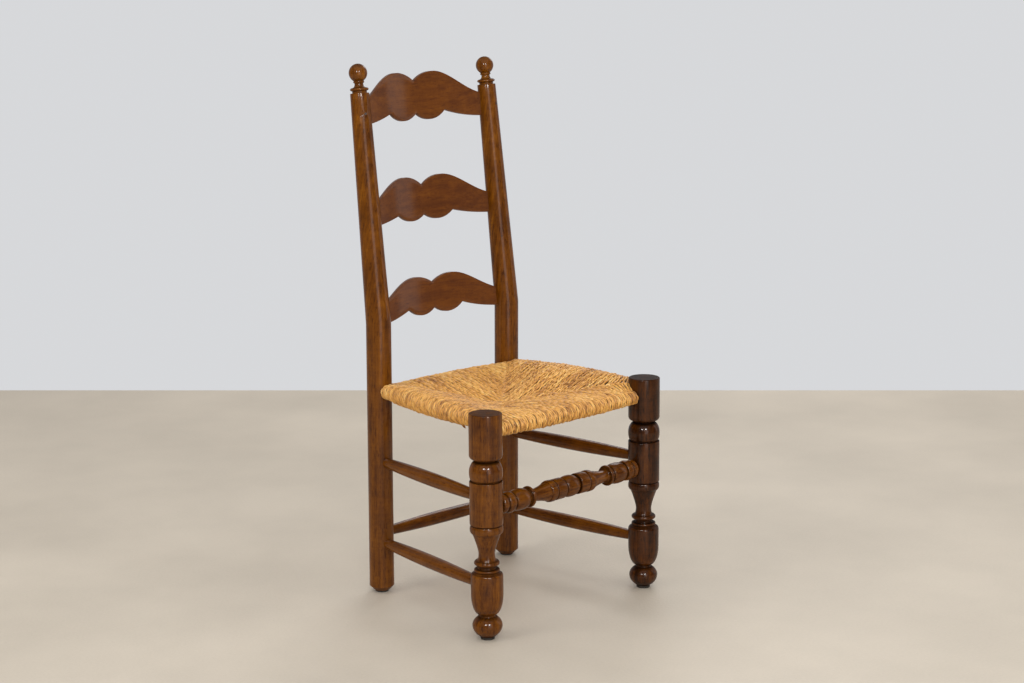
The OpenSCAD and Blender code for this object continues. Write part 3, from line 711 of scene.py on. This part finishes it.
def strand_path(panel, t):
    """From the seam under the seat, round the rail and up to the seam on top."""
    near_first = max(0.0, 1 - (t - panel.first) / FAN_WIDTH)
    near_last = max(0.0, 1 - (panel.last - t) / FAN_WIDTH)
    fan = 0.32 * (near_last * (panel.length - panel.last) - near_first * panel.first)
    reach, share = panel.reach(t + fan)
    r = panel.radius(t) + STRAND * 0.5
    top_seam = upper_seam(share) - STRAND / 2
    low_seam = under_seam(share) + STRAND / 2
    crest, keel = panel.height + r, panel.height - r
    run = max(reach, 0.004) + 0.004
    n = max(3, int(run / POINT_SPACING))
    out = []
    for s in np.linspace(1, 0, n, endpoint=False):
        swell = 4 * s * (1 - s) * min(0.004, run * 0.05)
        out.append((s * run, keel + (low_seam - keel) * ease(s) - swell))
    for angle in np.linspace(-math.pi / 2, -3 * math.pi / 2, max(6, int(math.pi * r / POINT_SPACING))):
        out.append((r * math.cos(angle), panel.height + r * math.sin(angle)))
    for s in np.linspace(0, 1, n + 1)[1:]:
        swell = 4 * s * (1 - s) * min(0.0035, run * 0.04)
        out.append((s * run, crest + (top_seam - crest) * ease(s) + swell))
    out[0] = (out[0][0], out[0][1] + STRAND * 0.7)
    out[-1] = (out[-1][0], out[-1][1] - STRAND * 0.8)
    out = np.array(out)
    count = len(out)
    drift = smooth_line(wander(count, 0.0009, 6)) + fan * ease(out[:, 0] / run)
    up = smooth_line(wander(count, 0.00045, 6)) + rng.normal(0, 0.0003)
    base = panel.a + panel.run * t
    plan = base[None, :] + panel.inward[None, :] * out[:, :1] + panel.run[None, :] * drift[:, None]
    return np.c_[plan, out[:, 1] + up]


weave = Skeins()
for panel in panels:
    free = panel.last - panel.first
    count = int(round(free / PITCH))
    for k in range(count):
        t = panel.first + (k + 0.5) * free / count + rng.normal(0, 0.0003)
        width = STRAND * (1.18 + rng.normal(0, 0.10))
        across = np.array([*panel.run, 0.0])
        path = strand_path(panel, t)
        weave.strand(path, across, width, rng.random(), 34 + rng.normal(0, 6), rng.random() * 6.3)

# A loose strand end under the left rail
left_panel = panels[2]
at = left_panel.a + left_panel.run * left_panel.length * 0.62
loose_end = [
    (at[0] + 0.016 + 0.004 * s, at[1] - 0.012 - 0.030 * s, side_height - 0.021 - 0.012 * s * s)
    for s in np.linspace(0, 1, 14)
]
weave.strand(loose_end, np.array([0.0, 0.0, 1.0]), STRAND * 0.8, 0.2, 40, 0.0)

seat = new_object("woven_seat", weave.mesh("woven_seat"))
seat.data.materials.append(rush())
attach(seat, "root")
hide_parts("rush_seat")


def packing():
    """Lumpy wedges of chopped rush between the two layers, one behind each rail."""
    points, faces = [], []
    for panel in panels:
        across, rows = 40, 16
        start = len(points)
        for layer in (1, -1):
            for i in range(across + 1):
                t = panel.first + 0.012 + (panel.last - panel.first - 0.024) * i / across
                reach, share = panel.reach(t)
                r = panel.radius(t)
                gap = r + STRAND * 0.4
                top = upper_seam(share) - STRAND * 1.3
                low = under_seam(share) + STRAND * 1.3
                for j in range(rows + 1):
                    s = j / rows
                    d = gap + (max(reach - 0.002, gap + 0.001) - gap) * s
                    blend = ease(d / max(reach, 0.004))
                    upper = panel.height + r - STRAND * 0.7 + (top - panel.height - r + STRAND * 0.7) * blend
                    lower = panel.height - r + STRAND * 0.7 + (low - panel.height + r - STRAND * 0.7) * blend
                    mid = (upper + lower) / 2
                    edge = min(1.0, 6 * min(i, across - i) / across, 5 * min(j, rows - j) / rows)
                    half = max(0.0004, (upper - lower) / 2 * edge ** 0.5)
                    lump = rng.normal(0, 0.0003)
                    plan = panel.a + panel.run * t + panel.inward * d
                    points.append((plan[0], plan[1], mid + layer * half + lump))
        size = (across + 1) * (rows + 1)
        for layer in (0, 1):
            for i in range(across):
                for j in range(rows):
                    c = start + layer * size + i * (rows + 1) + j
                    quad = (c, c + 1, c + rows + 2, c + rows + 1)
                    faces.append(quad if layer else quad[::-1])
        border = (
            [i * (rows + 1) for i in range(across + 1)]
            + [across * (rows + 1) + j for j in range(1, rows + 1)]
            + [i * (rows + 1) + rows for i in range(across - 1, -1, -1)]
            + [j for j in range(rows - 1, 0, -1)]
        )
        for first, second in zip(border, border[1:] + border[:1]):
            faces.append((start + first, start + second, start + size + second, start + size + first))
    mesh = bpy.data.meshes.new("seat_packing")
    mesh.from_pydata(points, [], faces)
    mesh.shade_smooth()
    return mesh


padding = new_object("seat_packing", packing())
padding.data.materials.append(chopped_rush())
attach(padding, "root")
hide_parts("seat_stuffing")

# ---------------------------------------------------------------- room, light and camera

VIEW_AZIMUTH = math.radians(44.476)
VIEW_PITCH = math.radians(11.441)
forward = Vector((math.sin(VIEW_AZIMUTH), math.cos(VIEW_AZIMUTH), 0))
sideways = Vector((math.cos(VIEW_AZIMUTH), -math.sin(VIEW_AZIMUTH), 0))

lens = bpy.data.cameras.new("camera")
lens.sensor_width, lens.lens = 36.0, 70.743
lens.clip_start, lens.clip_end = 0.05, 60
camera = new_object("camera", lens)
camera.location = (-2.8043, -2.9101, 1.3441)
aim = forward * math.cos(VIEW_PITCH) - Vector((0, 0, math.sin(VIEW_PITCH)))
camera.rotation_euler = aim.to_track_quat("-Z", "Y").to_euler()
bpy.context.scene.camera = camera


def floor_material():
    """Pale, slightly clouded studio floor."""
    s = Surface("studio_floor")
    where = s.place()
    cloud = s.noise(where, 1.7, 4.0, 0.6, 3.0)
    grit = s.noise(where, 160.0, 3.0, 0.6, 1.0)
    colour = s.ramp(cloud * 0.8 + grit * 0.2, [(0.3, (0.49, 0.427, 0.342)), (0.7, (0.63, 0.552, 0.447))])
    return s.finish(Base_Color=colour, Roughness=0.62 + (cloud - 0.5) * 0.2, Normal=s.bump(grit, 0.0008))


# The floor ends where the wall would stand behind the chair, and runs far out on its other sides
WALL_BEHIND = 1.86
FLOOR_REACH = 40.0
floor_corners = [
    forward * WALL_BEHIND - sideways * FLOOR_REACH, forward * WALL_BEHIND + sideways * FLOOR_REACH,
    forward * -FLOOR_REACH + sideways * FLOOR_REACH, forward * -FLOOR_REACH - sideways * FLOOR_REACH,
]
floor_mesh = bpy.data.meshes.new("floor")
floor_mesh.from_pydata([tuple(p) for p in floor_corners], [], [(3, 2, 1, 0)])
floor = new_object("floor", floor_mesh)
floor.data.materials.append(floor_material())


seat_middle = Vector((0, 0, 0.45))


def around_camera(turn, distance, height):
    """A place round the chair, turned to the camera's right by so many degrees, above the seat."""
    turn = math.radians(turn)
    level = sideways * math.sin(turn) - forward * math.cos(turn)
    return seat_middle + level * distance + Vector((0, 0, height))


def softbox(name, place, size, power, mirrored=True, lights=True):
    """A soft lamp on the seat: mirrored says if gloss shows it, lights if it lights dull surfaces."""
    data = bpy.data.lights.new(name, "AREA")
    data.shape, data.size, data.size_y = "RECTANGLE", *size
    data.energy = power
    lamp = new_object(name, data)
    lamp.location = place
    lamp.rotation_euler = (seat_middle - place).to_track_quat("-Z", "Y").to_euler()
    lamp.visible_glossy, lamp.visible_diffuse = mirrored, lights


softbox("overhead", Vector((0, 0, 3.0)) - forward * 0.4, (3.6, 3.2), 21)
softbox("right_window", around_camera(50, 3.3, 1.0), (2.6, 2.6), 35, mirrored=False)
softbox("side_window", around_camera(103, 3.4, 0.9), (0.8, 2.2), 6)
softbox("front_window", around_camera(20, 3.5, 0.6), (1.5, 2.0), 20, lights=False)
softbox("front_fill", around_camera(2, 4.0, 1.8), (1.0, 1.0), 45, mirrored=False)
softbox("left_fill", around_camera(-58, 3.6, 1.5), (1.5, 1.8), 34, mirrored=False)
softbox("back_fill", around_camera(165, 3.4, 2.2), (2.4, 1.2), 34)
for number, turn in enumerate((-14, 17)):
    softbox(f"lamp_{number}", around_camera(turn, 3.6, 2.0), (0.6, 0.6), 75, lights=False)

bpy.context.scene.view_settings.view_transform = "Standard"
world = bpy.data.worlds.new("studio")
bpy.context.scene.world = world
world.use_nodes = True
sky = NodeTree(world.node_tree)

# A pale wall behind the chair, a dim room elsewhere; the camera sees the wall's grey all round
towards = sky.add("ShaderNodeTexCoord", out="Generated")
ahead = sky.add(
    "ShaderNodeVectorMath", {"operation": "DOT_PRODUCT"}, {0: towards, 1: forward}, out="Value")
room_light = sky.mix(ahead.step(0.05, 0.75), (0.050, 0.050, 0.053), (0.50, 0.51, 0.53))
spread = sky.mix(sky.add("ShaderNodeLightPath", out="Is Diffuse Ray"), room_light, (0.58, 0.58, 0.59))
seen = sky.mix(sky.add("ShaderNodeLightPath", out="Is Camera Ray"), spread, (0.680, 0.688, 0.705))
background = sky.add("ShaderNodeBackground", None, {"Color": seen, "Strength": 1.0})
sky.add("ShaderNodeOutputWorld", None, {"Surface": background})
